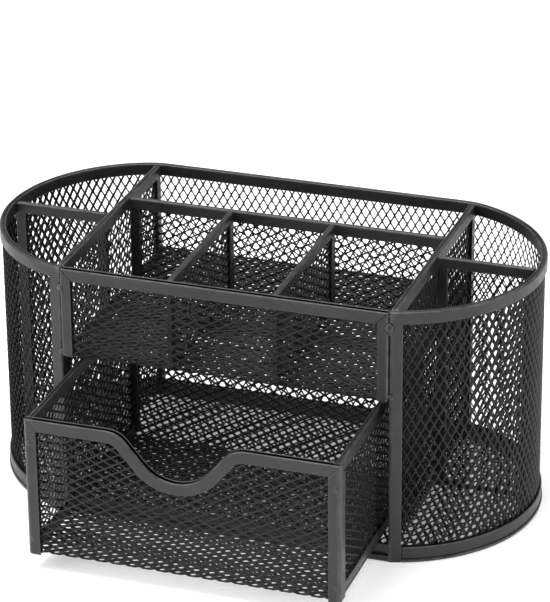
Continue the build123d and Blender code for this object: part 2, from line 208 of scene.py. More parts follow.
def paint(name, dark, light, rough0, rough1, grain, dents, wear_and_groove_shade=True, spec=0.5):
    """Powder-coated steel: two greys mottled over each other, a fine orange
    peel, and paint that thins to a lighter, smoother film along edges.
    Where the per-point attribute is negative, inside deep folds, it paints
    shade: a near-black colour with almost no specular."""
    m = bpy.data.materials.new(name)
    m.use_nodes = True
    nt = m.node_tree
    nt.nodes.clear()
    L = nt.links.new
    out = node(nt, "ShaderNodeOutputMaterial")
    b = node(nt, "ShaderNodeBsdfPrincipled")
    L(b.outputs["BSDF"], out.inputs["Surface"])
    tc = node(nt, "ShaderNodeTexCoord")
    big = node(nt, "ShaderNodeTexNoise")
    big.inputs["Scale"].default_value = 70.0
    big.inputs["Detail"].default_value = 5.0
    big.inputs["Roughness"].default_value = 0.62
    L(tc.outputs["Object"], big.inputs["Vector"])
    ramp = node(nt, "ShaderNodeValToRGB")
    ramp.color_ramp.elements[0].position = 0.33
    ramp.color_ramp.elements[0].color = (*dark, 1)
    ramp.color_ramp.elements[1].position = 0.70
    ramp.color_ramp.elements[1].color = (*light, 1)
    L(big.outputs["Fac"], ramp.inputs["Fac"])
    fine = node(nt, "ShaderNodeTexNoise")
    fine.inputs["Scale"].default_value = grain
    fine.inputs["Detail"].default_value = 3.0
    L(tc.outputs["Object"], fine.inputs["Vector"])
    rr = node(nt, "ShaderNodeMapRange")
    rr.inputs["From Min"].default_value = 0.3
    rr.inputs["From Max"].default_value = 0.7
    rr.inputs["To Min"].default_value = rough0
    rr.inputs["To Max"].default_value = rough1
    mid = node(nt, "ShaderNodeTexNoise")
    mid.inputs["Scale"].default_value = 240.0
    mid.inputs["Detail"].default_value = 4.0
    L(tc.outputs["Object"], mid.inputs["Vector"])
    L(mid.outputs["Fac"], rr.inputs["Value"])
    colour = ramp.outputs["Color"]
    rough = rr.outputs["Result"]
    if wear_and_groove_shade:
        at = node(nt, "ShaderNodeAttribute", attribute_name="wear_and_groove_shade")
        thin = node(nt, "ShaderNodeMath", operation="MULTIPLY")
        L(at.outputs["Fac"], thin.inputs[0])
        gate = node(nt, "ShaderNodeMapRange")
        gate.inputs["From Min"].default_value = 0.32
        gate.inputs["From Max"].default_value = 0.68
        L(mid.outputs["Fac"], gate.inputs["Value"])
        L(gate.outputs["Result"], thin.inputs[1])
        mix = node(nt, "ShaderNodeMix", data_type="RGBA")
        L(thin.outputs[0], mix.inputs["Factor"])
        L(colour, mix.inputs[6])
        mix.inputs[7].default_value = tuple(min(1.0, c * 3.2) for c in light) + (1,)
        colour = mix.outputs[2]
        rw = node(nt, "ShaderNodeMath", operation="MULTIPLY_ADD")
        L(thin.outputs[0], rw.inputs[0])
        rw.inputs[1].default_value = -0.10
        L(rough, rw.inputs[2])
        rough = rw.outputs[0]
    b.inputs["Specular IOR Level"].default_value = spec
    if wear_and_groove_shade:
        # negative values of the attribute mark the inside of a deep fold, where shade is painted: a near-black colour
        # and almost no specular, so the groove reads darker than its own shadow makes it
        inner = node(nt, "ShaderNodeMapRange")
        inner.inputs["From Min"].default_value = -1.0
        inner.inputs["From Max"].default_value = 0.0
        inner.inputs["To Min"].default_value = 0.02
        inner.inputs["To Max"].default_value = spec
        L(at.outputs["Fac"], inner.inputs["Value"])
        L(inner.outputs["Result"], b.inputs["Specular IOR Level"])
        # mask of the painted shade: 1 at the deepest point of a fold, 0 outside it
        groove_shade_mask = node(nt, "ShaderNodeMapRange")
        groove_shade_mask.inputs["From Min"].default_value = -1.0
        groove_shade_mask.inputs["From Max"].default_value = 0.0
        groove_shade_mask.inputs["To Min"].default_value = 1.0
        groove_shade_mask.inputs["To Max"].default_value = 0.0
        L(at.outputs["Fac"], groove_shade_mask.inputs["Value"])
        # painted shade: the colour is mixed to near-black inside deep folds, by how negative the attribute is
        groove_painted_shade = node(nt, "ShaderNodeMix", data_type="RGBA")
        L(groove_shade_mask.outputs["Result"], groove_painted_shade.inputs["Factor"])
        L(colour, groove_painted_shade.inputs[6])
        groove_painted_shade.inputs[7].default_value = (0.0022, 0.0021, 0.0020, 1)
        colour = groove_painted_shade.outputs[2]
    L(colour, b.inputs["Base Color"])
    L(rough, b.inputs["Roughness"])
    b1 = node(nt, "ShaderNodeBump")
    b1.inputs["Strength"].default_value = 0.22
    b1.inputs["Distance"].default_value = 0.00006
    L(fine.outputs["Fac"], b1.inputs["Height"])
    b2 = node(nt, "ShaderNodeBump")
    b2.inputs["Strength"].default_value = dents
    b2.inputs["Distance"].default_value = 0.00035
    dent = node(nt, "ShaderNodeTexNoise")
    dent.inputs["Scale"].default_value = 95.0
    dent.inputs["Detail"].default_value = 1.5
    L(tc.outputs["Object"], dent.inputs["Vector"])
    L(dent.outputs["Fac"], b2.inputs["Height"])
    L(b1.outputs["Normal"], b2.inputs["Normal"])
    L(b2.outputs["Normal"], b.inputs["Normal"])
    return m


M_STRIP = paint("strip_paint", (0.0105, 0.0103, 0.0102), (0.021, 0.0205, 0.020), 0.33, 0.47, 2600.0, 0.8, spec=0.44)
M_MESH = paint("mesh_paint", (0.006, 0.006, 0.006), (0.012, 0.0118, 0.0116), 0.32, 0.46, 3200.0, 0.10, wear_and_groove_shade=False, spec=0.26)
M_WELD = paint("weld_paint", (0.014, 0.0137, 0.0132), (0.045, 0.043, 0.041), 0.20, 0.40, 1500.0, 0.60, wear_and_groove_shade=False)

# ------------------------------------------------------------------ lattice
OPEN = np.array([(0.80, 0), (0.58, 0.262), (0, 0.825), (-0.58, 0.262),
                 (-0.80, 0), (-0.58, -0.262), (0, -0.825), (0.58, -0.262)])
TWIST = np.array([0, -0.85, -1, -0.85, 0, 0.85, 1, 0.85])


def lattice(name, nodes, body, nu, nv, fmap, keep=None, h=0.22, tilt=0.34, seed=1,
            parity=0, snap=None, halves=True, jit=0.02, part=0.79):
    """Expanded metal: diamonds tile the panel, each with its own opening; the
    strand between two openings is tilted across the sheet.  nu and nv count
    half diamonds the long way and the short way.  fmap takes positions in
    half diamonds and the depth in mm, and gives x, y, z in mm."""
    rng = np.random.default_rng(seed)
    I, J = np.meshgrid(np.arange(nu + 1), np.arange(nv + 1), indexing="ij")
    N = (nu + 1) * (nv + 1)
    A = I.astype(float)
    B = J.astype(float)
    inner = (I > 0) & (I < nu) & (J > 0) & (J < nv)
    A += inner * rng.normal(0, jit, A.shape)
    B += inner * rng.normal(0, jit, B.shape)
    cell = ((I + J + parity) % 2) == 0
    full = cell & inner
    if keep is not None:
        full &= keep(I, J)
    onb = np.zeros(I.shape, bool)
    if snap is not None:
        A, B, onb = snap(I, J, A, B, full)

    def idx(i, j):
        return i * (nv + 1) + j

    ci, cj = np.nonzero(full)
    R, T, Lf, Bt = idx(ci + 1, cj), idx(ci, cj + 1), idx(ci - 1, cj), idx(ci, cj - 1)
    Af, Bf = A.ravel(), B.ravel()
    onf = onb.ravel()
    nc = len(ci)
    ca = (Af[R] + Af[T] + Af[Lf] + Af[Bt]) / 4
    cb = (Bf[R] + Bf[T] + Bf[Lf] + Bf[Bt]) / 4
    size = (part(ci, cj) if callable(part) else np.full(nc, part))[:, None] / 0.842
    lean = (tilt(ci, cj) if callable(tilt) else np.full(nc, tilt))[:, None]
    eu = np.stack([(Af[R] - Af[Lf]) / 2, (Bf[R] - Bf[Lf]) / 2], 1)
    ev = np.stack([(Af[T] - Af[Bt]) / 2, (Bf[T] - Bf[Bt]) / 2], 1)
    sc = 1 + rng.normal(0, 0.018, (nc, 1))
    oa = ca[:, None] + sc * size * (eu[:, 0:1] * OPEN[None, :, 0] + ev[:, 0:1] * OPEN[None, :, 1])
    ob = cb[:, None] + sc * size * (eu[:, 1:2] * OPEN[None, :, 0] + ev[:, 1:2] * OPEN[None, :, 1])
    ow = TWIST[None, :] * lean
    base = 2 * N + np.arange(nc)[:, None] * 16
    F = [base[:, 0] + k for k in range(8)]
    K = [base[:, 0] + 8 + k for k in range(8)]
    q, t3 = [], []

    def ring(off, o, flip):
        r, t, l, b = R + off, T + off, Lf + off, Bt + off
        qs = [(r, t, o[2], o[1]), (t, l, o[3], o[2]), (l, b, o[6], o[5]), (b, r, o[7], o[6])]
        ts = [(r, o[1], o[0]), (l, o[4], o[3]), (l, o[5], o[4]), (r, o[0], o[7])]
        for x in qs:
            x = np.stack(x, 1)
            q.append(x[:, ::-1] if flip else x)
        for x in ts:
            x = np.stack(x, 1)
            t3.append(x[:, ::-1] if flip else x)

    ring(0, F, False)
    ring(N, K, True)
    for k in range(8):
        k2 = (k + 1) % 8
        q.append(np.stack([F[k], F[k2], K[k2], K[k]], 1))
    ed = [np.stack(x, 1) for x in ((R, T), (T, Lf), (Lf, Bt), (Bt, R))]
    # half diamonds along the panel's own edges
    if halves:
        tri = []
        hk = cell.copy()
        if keep is not None:
            hk &= keep(I, J)
        for j in range(1, nv):
            if hk[0, j]:
                tri.append((idx(1, j), idx(0, j + 1), idx(0, j - 1)))
            if hk[nu, j]:
                tri.append((idx(nu, j + 1), idx(nu - 1, j), idx(nu, j - 1)))
        for i in range(1, nu):
            if hk[i, 0]:
                tri.append((idx(i + 1, 0), idx(i, 1), idx(i - 1, 0)))
            if hk[i, nv]:
                tri.append((idx(i - 1, nv), idx(i, nv - 1), idx(i + 1, nv)))
        if hk[0, 0]:
            tri.append((idx(0, 0), idx(1, 0), idx(0, 1)))
        if hk[nu, 0]:
            tri.append((idx(nu, 0), idx(nu, 1), idx(nu - 1, 0)))
        if hk[nu, nv]:
            tri.append((idx(nu, nv), idx(nu - 1, nv), idx(nu, nv - 1)))
        if hk[0, nv]:
            tri.append((idx(0, nv), idx(0, nv - 1), idx(1, nv)))
        tri = np.array(tri, np.int64).reshape(-1, 3)
        t3.append(tri)
        t3.append(tri[:, ::-1] + N)
        ed += [tri[:, [0, 1]], tri[:, [1, 2]], tri[:, [2, 0]]]
    E = np.concatenate(ed)
    big = 4 * N + 16 * nc + 10
    code = E[:, 0] * big + E[:, 1]
    rev = E[:, 1] * big + E[:, 0]
    edge = E[~np.isin(code, rev)]
    PA = [Af, Af, oa.ravel()]
    extraA, extraB = [], []
    nxt = 2 * N + 16 * nc
    if snap is not None:
        # solid margin from the outermost diamonds to the outline
        proj = {}
        ea, eb = [], []
        mq, mt, outer = [], [], []
        for a, b in edge:
            a, b = int(a), int(b)
            for v in (a, b):
                if not onf[v] and v not in proj:
                    pa, pb = snap(None, None, Af[v], Bf[v], None)
                    proj[v] = nxt + 2 * len(ea)
                    ea.append(pa)
                    eb.append(pb)
            fa, fb = proj.get(a), proj.get(b)
            if fa is None and fb is None:
                outer.append((a, b, a + N, b + N))
                continue
            A1, A2 = (a, a + N) if fa is None else (fa, fa + 1)
            B1, B2 = (b, b + N) if fb is None else (fb, fb + 1)
            if fa is None:
                mt += [(b, a, B1), (B2, a + N, b + N)]
            elif fb is None:
                mt += [(b, a, A1), (A2, a + N, b + N)]
            else:
                mq += [(b, a, A1, B1), (B2, A2, a + N, b + N)]
            outer.append((A1, B1, A2, B2))
        q.append(np.array(mq, np.int64).reshape(-1, 4))
        t3.append(np.array(mt, np.int64).reshape(-1, 3))
        q.append(np.array([(b1, a1, a2, b2) for a1, b1, a2, b2 in outer], np.int64))
        extraA, extraB = np.repeat(ea, 2), np.repeat(eb, 2)
    else:
        q.append(np.stack([edge[:, 1], edge[:, 0], edge[:, 0] + N, edge[:, 1] + N], 1))
    # positions
    a_all = np.concatenate([Af, Af, np.stack([oa, oa], 1).reshape(-1), extraA])
    b_all = np.concatenate([Bf, Bf, np.stack([ob, ob], 1).reshape(-1), extraB])
    w_all = np.concatenate([np.full(N, h), np.full(N, -h),
                            np.stack([ow + h, ow - h], 1).reshape(-1),
                            np.tile([h, -h], len(extraA) // 2)])
    V = fmap(a_all, b_all, w_all)
    return mesh_object(name, V, [np.concatenate(q), np.concatenate(t3)], M_MESH, body, nodes)


def flat(o, u, v, n, pu, pv):
    o, u, v, n = (np.asarray(x, float) for x in (o, u, v, n))

    def f(a, b, w):
        return o + (a * pu)[:, None] * u + (b * pv)[:, None] * v + w[:, None] * n
    return f


def panel(name, nodes, body, corner, u, v, n, lu, lv, **kw):
    """Rectangular flat panel, long way along u."""
    nu, nv = max(2, round(lu / LWD)), max(2, round(lv / SWD))
    return lattice(name, nodes, body, nu, nv, flat(corner, u, v, n, lu / nu, lv / nv), **kw)


# ------------------------------------------------------------------ channels
def channel(width, tf, tb, leg=0.55, r=0.7, fold=FOLD, g=None, gw=0.45, gd=0.6, deep=False):
    """Section of a folded channel as (across, inwards, wear and shade) points: the third value is edge wear where
    positive, and painted shade inside a deep groove where negative.
    """
    p = []
    e = 0.14
    p += [(tf - leg, width, 0.2), (tf - e, width, 0.6), (tf, width - e, 0.7), (tf, width - 0.5, 0.0),
          (tf, r + 0.4, 0.0)]
    n = 5
    for k in range(n + 1):
        a = math.pi / 2 * k / n
        p.append((tf - r + r * math.cos(a), r - r * math.sin(a), 0.25 + 0.75 * math.sin(2 * a)))
    if g is not None:
        # c is the value for the groove's inside points: -1 in a deep groove, which paints shade there
        c = -1.0 if deep else 0.0
        p += [(g + gw / 2 + 0.16, 0.0, 0.35), (g + gw / 2 + 0.03, 0.10, 0.1), (g + gw / 2, 0.20, c), (g + gw / 2 - 0.05, gd, c),
              (g - gw / 2 + 0.05, gd, c)]
        if not deep:
            p += [(g - gw / 2, 0.14, 0.3), (g - gw / 2 - 0.16, 0.0, 0.8)]
    if deep:
        lip = (g - gw / 2 + tb) / 2
        p.append((g - gw / 2, lip + 0.12, c))
        # the lip's first point, down in the groove, also gets a negative value: painted shade
        for k in range(7):
            a = math.pi * k / 6
            p.append((-tb + lip + lip * math.cos(a), lip - lip * math.sin(a), -0.7 if k == 0 else 0.9 * math.sin(a)))
        p += [(-tb, width - 0.5, 0.0), (-tb, width - e, 0.7), (-tb + e, width, 0.6), (-tb + leg, width, 0.2),
              (-tb + leg, gd + 0.5, 0.0), (tf - leg, gd + 0.5, 0.0)]
        return np.array(p)
    rb = r if (g is None or g - gw / 2 - 0.16 + tb > r + 0.05) else max(0.15, g - gw / 2 - 0.21 + tb)
    for k in range(n + 1):
        a = math.pi / 2 * k / n
        p.append((-tb + rb - rb * math.sin(a), rb - rb * math.cos(a), 0.25 + 0.75 * math.sin(2 * a)))
    p += [(-tb, rb + 0.4, 0.0), (-tb, width - 0.5, 0.0), (-tb, width - e, 0.7), (-tb + e, width, 0.6),
          (-tb + leg, width, 0.2)]
    p += [(-tb + leg, fold, 0.0), (tf - leg, fold, 0.0)]
    return np.array(p)


def lipped(width, tf, tb, back=None, leg=0.55, fold=1.2, lip=0.35, cut=0.4):
    """Section with a shallow groove low on its outer face and a rolled lip."""
    back = width if back is None else back
    e = 0.14
    p = [(tf - leg, width, 0.2), (tf - e - 0.1, width, 0.7), (tf, width - e - 0.1, 0.8), (tf, width - 0.6, 0.0),
         (tf, 1.95, 0.0), (tf - 0.05, 1.72, 0.4), (tf - cut, 1.58, 0.0), (tf - cut, 1.44, 0.0),
         (tf + lip - 0.12, 1.28, 0.3), (tf + lip, 1.1, 0.9)]
    for k in range(5):
        a = math.pi / 2 * k / 4
        p.append((tf + lip - 0.5 + 0.5 * math.cos(a), 0.5 - 0.5 * math.sin(a), 0.6 * math.cos(a)))
    p += [(-tb + 0.35, 0.0, 0.0), (-tb, 0.35, 0.2), (-tb, back - e, 0.5), (-tb + e, back, 0.5),
          (-tb + leg, back, 0.2), (-tb + leg, fold, 0.0), (tf - leg, fold, 0.0)]
    return np.array(p)


def caps(sec):
    tris = tessellate_polygon([[Vector((x, y, 0)) for x, y, *_ in sec]])
    return np.array(tris, np.int64)


def skin(name, nodes, body, P, sec, wear_ends=True, mat=None, loop=False):
    """P is stations x section points x 3.  Closes the ends with flat caps."""
    ns, k, _ = P.shape
    idx = np.arange(ns * k).reshape(ns, k)
    a = idx[:-1, :]
    b = idx[1:, :]
    q = np.stack([a, np.roll(a, -1, 1), np.roll(b, -1, 1), b], -1).reshape(-1, 4)
    tr = caps(sec)
    c0, c1 = tr[:, ::-1], tr + (ns - 1) * k
    # make both caps agree with the sides: each side edge must be used twice,
    # once each way round
    side = set(map(tuple, np.stack([q[:, 0], q[:, 1]], 1)))
    for tri in tr:
        hit = False
        for x, y in ((tri[0], tri[1]), (tri[1], tri[2]), (tri[2], tri[0])):
            if (y - x) % k == 1:
                hit = "same"
            elif (x - y) % k == 1:
                hit = "against"
            if hit:
                break
        if hit:
            if hit == "same":
                c0, c1 = tr[:, ::-1], tr + (ns - 1) * k
            else:
                c0, c1 = tr, tr[:, ::-1] + (ns - 1) * k
            break
    W = np.broadcast_to(sec[None, :, 2], (ns, k)).copy()
    if wear_ends:
        W[0] = np.maximum(W[0], 0.8)
        W[-1] = np.maximum(W[-1], 0.8)
    return mesh_object(name, P.reshape(-1, 3), [q, np.concatenate([c0, c1])], mat or M_STRIP, body,
                       nodes, wear_and_groove_shade=W.ravel(), smooth=math.radians(32))


def wobble(s, seed, amp):
    r = np.random.default_rng(seed)
    out = np.zeros_like(s)
    for lam, w in ((31.0, 1.0), (13.0, 0.6), (6.1, 0.35)):
        out = out + w * np.sin(2 * math.pi * s / (lam * r.uniform(0.85, 1.2)) + r.uniform(0, 6.28))
    return amp * out / 1.95


def rail(name, nodes, body, A, B, N, M, sec, k0=0.0, k1=0.0, e0=0.0, e1=0.0, gap0=0.0, gap1=0.0,
         wob=0.05, seed=3, mat=None):
    """Straight channel.  A and B are the ends of its outer edge, N points to
    its front face and M inwards; k0 and k1 mitre the ends, e0 and e1 round
    the folded edge down to them."""
    A, B, N, M = (np.asarray(x, float) for x in (A, B, N, M))
    L = float(np.linalg.norm(B - A))
    d = (B - A) / L
    near = np.array([0, 0.12, 0.3, 0.55, 0.9, 1.4, 2.1, 3.0])
    n_mid = max(2, int((L - 6) / 3.5))
    st = np.concatenate([near, np.linspace(3.0, L - 3.0, n_mid)[1:-1], (L - near)[::-1]]) if L > 8 else np.linspace(0, L, 8)
    t = st / L
    n, m = sec[:, 0], sec[:, 1]
    wid = m.max()
    a0, a1 = gap0 + k0 * m, L - gap1 - k1 * m
    along = a0[None, :] + (a1 - a0)[None, :] * t[:, None]
    mm = np.broadcast_to(m, along.shape).copy()
    for e, dist in ((e0, along), (e1, L - along)):
        if e > 0:
            qd = np.clip(e - dist, 0, e)
            mm = np.maximum(mm, e - np.sqrt(np.maximum(0, e * e - qd * qd)))
    wf = wobble(along, seed, wob)
    wb = wobble(along, seed + 50, wob)
    nn = n[None, :] + np.where(n[None, :] > 0, wf, wb) * (0.25 + 0.75 * mm / wid)
    mm = mm + wobble(along, seed + 90, wob * 0.7) * np.where(m[None, :] > wid - 0.7, 1.0, 0.0)
    P = A + along[..., None] * d + nn[..., None] * N + mm[..., None] * M
    return skin(name, nodes, body, P, sec, mat=mat)


def blob(c, rx, ry, rz, seed, lumps=0.16, lev=4):
    bm = bmesh.new()
    bmesh.ops.create_icosphere(bm, subdivisions=lev, radius=1.0)
    r = np.random.default_rng(seed)
    V = np.array([v.co[:] for v in bm.verts])
    F = np.array([[v.index for v in f.verts] for f in bm.faces], np.int64)
    bm.free()
    d = np.zeros(len(V))
    for _ in range(9):
        ax = unit(r.normal(size=3))
        d += r.uniform(0.4, 1.0) * np.exp(-((V - ax) ** 2).sum(1) / r.uniform(0.10, 0.35))
    d -= d.mean()
    V = V * (1 + lumps * d)[:, None] * np.array([rx, ry, rz]) + np.asarray(c, float)
    return V, F


def blobs(name, nodes, body, items, seed=5, **kw):
    Vs, Fs, n = [], [], 0
    for k, (c, r) in enumerate(items):
        V, F = blob(c, *r, seed + k, **kw)
        Vs.append(V)
        Fs.append(F + n)
        n += len(V)
    return mesh_object(name, np.concatenate(Vs), [np.concatenate(Fs)], M_WELD, body, nodes, smooth=3.0)


# ------------------------------------------------------------------ the stand
X, Y, Z = np.array([1.0, 0, 0]), np.array([0, 1.0, 0]), np.array([0, 0, 1.0])
S, D = "stand", "drawer"

wall = wall_way(HALF_C)
NU, NV = 33, round(wall.length / SWD)


def wall_map(a, b, w):
    x, y = wall.at(b * wall.length / NV, -w)
    return np.stack([x, y, 1.2 + a * (H_IN - 1.2) / NU], 1)


lattice("shell_expanded_metal", ["shell_mesh"], S, NU, NV, wall_map, seed=21, tilt=0.27, part=0.80)

# top rim and base ring follow the same way
rim_way = wall_way(HALF_C - FOLD)


def round_the_wall(name, nodes, sec, z_of, s0, s1, way=rim_way, end=0.0, step=2.6):
    st = np.linspace(s0, s1, int((s1 - s0) / step))
    if end:
        near = np.array([0.08, 0.25, 0.5, 0.9]) * end
        st = np.unique(np.concatenate([st, s0 + near, s1 - near]))
    n, m = sec[:, 0], sec[:, 1]
    s = np.broadcast_to(st[:, None], (len(st), len(n)))
    wf = wobble(s, 77, 0.06)
    nn = n[None, :] + wf * (0.2 + 0.8 * m[None, :] / m.max())
    mm = np.broadcast_to(m, nn.shape).copy()
    if end:
        for dist in (s - s0, s1 - s):
            qd = np.clip(end - dist, 0, end)
            drop = end - np.sqrt(np.maximum(0, end * end - qd * qd))
            nn = np.sign(nn) * np.maximum(0.0, np.abs(nn) - drop * 0.9 * (np.abs(nn) > 0.9))
    x, y = way.at(s, -nn)
    P = np.stack([x, y, z_of(mm)], -1)
    return skin(name, nodes, S, P, sec)


round_the_wall("top_rim_folded", ["top_rim"], channel(W_TOP, CH, CH, g=-0.35, gw=0.40, gd=0.5, r=0.8),
               lambda m: HEIGHT - m, -0.3, rim_way.length + 0.3)

# corner posts: channels that open along the wall
for side, first in (("right", True), ("left", False)):
    sec = channel(W_POST, CH, CH, g=None, r=0.9)
    zs = np.concatenate([[0.0, 0.2, 0.5], np.linspace(2.5, 101.5, 34), [103.2, 103.5]])
    sm = np.where(sec[:, 1] < 1.2, sec[:, 1] - 0.45 * (1 - sec[:, 1] / 1.2), sec[:, 1])
    s = sm if first else rim_way.length - sm
    ss = np.broadcast_to(s, (len(zs), len(s)))
    zz = np.broadcast_to(zs[:, None], ss.shape)
    nn = sec[None, :, 0] + wobble(zz, 31 if first else 37, 0.05)
    nn = nn + 0.10 * np.sign(sec[None, :, 0])
    x, y = rim_way.at(ss, -nn)
    skin("corner_post_folded_" + side, ["corner_post_" + side], S, np.stack([x, y, zz], -1), sec)

# base ring: round part with its lip, and a low straight sill in front
ring_sec = lipped(RING_H, CH, 2.1, back=RING_IN)
st = np.linspace(W_POST - 0.1, rim_way.length - W_POST + 0.1, 170)
st = np.unique(np.concatenate([st, st[0] + np.array([0.1, 0.3, 0.6, 1.0]), st[-1] - np.array([0.1, 0.3, 0.6, 1.0])]))
ss = np.broadcast_to(st[:, None], (len(st), len(ring_sec)))
nn = ring_sec[None, :, 0] + wobble(ss, 15, 0.05)
mm = np.broadcast_to(ring_sec[None, :, 1], nn.shape).copy()
endd = np.minimum(ss - st[0], st[-1] - ss)
q1 = np.clip(1.1 - endd, 0, 1.1)
drop = 1.1 - np.sqrt(np.maximum(0, 1.21 - q1 * q1))
nn = np.where(nn > 0.7, nn - drop * 0.55, nn)
mm = np.where(mm > RING_IN - 0.9, mm - drop * 0.9, mm)
x, y = rim_way.at(ss, -nn)
ring_ob = skin("base_ring_folded", ["base_ring"], S, np.stack([x, y, mm], -1), ring_sec)
sill = np.array([(1.3, 1.9, 0.4), (1.12, 2.2, 0.9), (0.7, 2.3, 0.8), (0.4, 2.2, 0.4), (0.25, 1.7, 0.0), (-0.3, 1.7, 0.0),
                 (-0.3, 6.55, 0.5), (-0.75, 6.55, 0.4), (-0.85, 2.1, 0.0), (-1.9, 2.1, 0.2), (-2.1, 1.9, 0.3), (-2.1, 0.2, 0.0), (-1.9, 0.0, 0.0),
                 (1.2, 0.0, 0.0), (1.45, 0.25, 0.3), (1.45, 0.75, 0.5), (1.3, 0.95, 0.3), (1.05, 1.05, 0.0),
                 (1.05, 1.2, 0.0), (1.3, 1.3, 0.5)])
xs = np.linspace(-(HALF_C - FOLD) - 0.6, HALF_C - FOLD + 0.6, 60)
P = np.stack([np.broadcast_to(xs[:, None], (60, len(sill))),
              -HALF_D - (sill[None, :, 0] + wobble(np.broadcast_to(xs[:, None], (60, len(sill))), 44, 0.06)),
              np.broadcast_to(sill[None, :, 1], (60, len(sill)))], -1)
skin("base_front_sill", ["base_ring"], S, P, sill)

# base sheet, snapped to the footprint
BU, BV = 35, 124
bu, bv = 2 * 55.6 / BU, 2 * 111.45 / BV
EDGE = -0.45


def base_map(a, b, w):
    return np.stack([(b - BV / 2) * bv, (a - BU / 2) * bu, 6.4 + w], 1)


def outside(x, y):
    ax = np.abs(x)
    return np.where(ax < HALF_C, np.abs(y) - (HALF_D + EDGE), np.hypot(ax - CEN, y) - (RAD + EDGE))


def to_edge(x, y):
    ax = np.abs(x)
    r = np.hypot(ax - CEN, y)
    sx = np.sign(x)
    f = (RAD + EDGE) / np.maximum(r, 1e-6)
    ex = np.where(ax < HALF_C, x, sx * (CEN + (ax - CEN) * f))
    ey = np.where(ax < HALF_C, np.sign(y) * (HALF_D + EDGE), y * f)
    return ex, ey


def base_keep(i, j):
    return outside((j - BV / 2) * bv, (i - BU / 2) * bu) < -0.2


def base_snap(I, J, A, B, full):
    x, y = (B - BV / 2) * bv, (A - BU / 2) * bu
    ex, ey = to_edge(x, y)
    a2, b2 = ey / bu + BU / 2, ex / bv + BV / 2
    if I is None:
        return float(a2), float(b2)
    hit = outside(x, y) > -1.0
    return np.where(hit, a2, A), np.where(hit, b2, B), hit


lattice("base_expanded_metal", ["base_mesh"], S, BU, BV, base_map, keep=base_keep, snap=base_snap,
        halves=False, seed=8, tilt=0.16, h=0.24, part=0.72, parity=1)

# full-height dividers
ya, yb = -HALF_D + CH + 0.6, HALF_D - CH - 0.6
for side, sg in (("left", -1), ("right", 1)):
    x = sg * HALF_C
    panel("main_divider_expanded_metal_" + side, ["main_divider_mesh_" + side], S,
          (x, ya + 0.8, FLOOR_TOP), Z, Y, -X, H_IN - FLOOR_TOP, yb - ya - 1.6, seed=40 + sg, part=0.77)
    rail("main_divider_top_folded_" + side, ["main_divider_top_strip_" + side], S,
         (x, ya, HEIGHT), (x, yb, HEIGHT), X, -Z, channel(W_TOP, CH, CH, g=-0.30 * sg, r=0.75, gw=0.36, gd=0.5),
         e0=1.8, e1=1.8, seed=60 + sg)
    rail("main_divider_front_folded_" + side, ["main_divider_front_strip_" + side], S,
         (x, ya, FLOOR_TOP), (x, ya, HEIGHT - W_TOP), X, Y, channel(W_SIDE, CH, CH), seed=62 + sg)
    rail("main_divider_back_folded_" + side, ["main_divider_back_strip_" + side], S,
         (x, yb, FLOOR_TOP), (x, yb, HEIGHT - W_TOP), X, -Y, channel(W_SIDE, CH, CH), seed=65 + sg)
    # across the end cups
    xi, xo = sg * (HALF_C + CH), sg * (CEN + RAD - CH - 0.05)
    panel("cup_divider_expanded_metal_" + side, ["cup_divider_mesh_" + side], S,
          (min(xi, xo) + 0.8, CUP_Y, FLOOR_TOP), Z, X, -Y, H_IN - FLOOR_TOP, abs(xo - xi) - 1.6, seed=70 + sg)
    rail("cup_divider_top_folded_" + side, ["cup_divider_top_strip_" + side], S,
         (min(xi, xo), CUP_Y, HEIGHT), (max(xi, xo), CUP_Y, HEIGHT), -Y, -Z,
         channel(W_CUP, CS, CS, g=0.25, gw=0.36, gd=0.5, r=0.65), e0=1.6, e1=1.6, seed=72 + sg)
    rail("cup_divider_inner_folded_" + side, ["cup_divider_inner_strip_" + side], S,
         (xi, CUP_Y, FLOOR_TOP), (xi, CUP_Y, HEIGHT - W_CUP), -Y, sg * X, channel(W_SIDE, CS, CS, r=0.6), seed=74 + sg)
    rail("cup_divider_outer_folded_" + side, ["cup_divider_outer_strip_" + side], S,
         (xo, CUP_Y, FLOOR_TOP), (xo, CUP_Y, HEIGHT - W_CUP), -Y, -sg * X, channel(W_SIDE, CS, CS, r=0.6), seed=76 + sg)

# upper tray: front and floor are one folded sheet, long way along x
tray_way = Way(TYC, H_IN, -math.pi / 2).line(H_IN - TRAY_Z - 1.6).arc(1.2, math.pi / 2).line(55.6 - (TYC + 1.2))
TU, TV = 41, round(tray_way.length / SWD)


def tray_map(a, b, w):
    s = b * tray_way.length / TV
    y, z = tray_way.at(s, -w)
    k = np.clip((s - 37.0) / 3.0, 0, 1)
    half = (TX - 0.8) * (1 - k) + (HALF_C - 0.45) * k
    return np.stack([(a / TU * 2 - 1) * half, y, z], 1)


lattice("tray_expanded_metal", ["tray_mesh"], S, TU, TV, tray_map, seed=90, h=0.25,
        tilt=lambda i, j: np.where(j * tray_way.length / TV < 37, -0.03, -0.22),
        part=lambda i, j: np.where(j * tray_way.length / TV < 37, 0.825, 0.78))
rail("tray_top_folded", ["tray_top_strip"], S, (-TX - 0.35, TYC, HEIGHT), (TX + 0.35, TYC, HEIGHT), -Y, -Z,
     channel(W_TOP, CH, 2.0, g=-0.40, gw=1.80, gd=2.2, r=0.62, deep=True), k0=1.0, k1=1.0, gap0=0.14, gap1=0.14, seed=92)
for side, sg in (("left", -1), ("right", 1)):
    rail("tray_side_folded_" + side, ["tray_side_strip_" + side], S,
         (sg * (TX + 0.42), TYC, HEIGHT), (sg * (TX + 0.42), TYC, TRAY_Z + 0.9), -Y, -sg * X, channel(W_SIDE, CH, CH, r=0.9),
         k0=1.0, gap0=0.14, e1=1.2, seed=94 + sg)

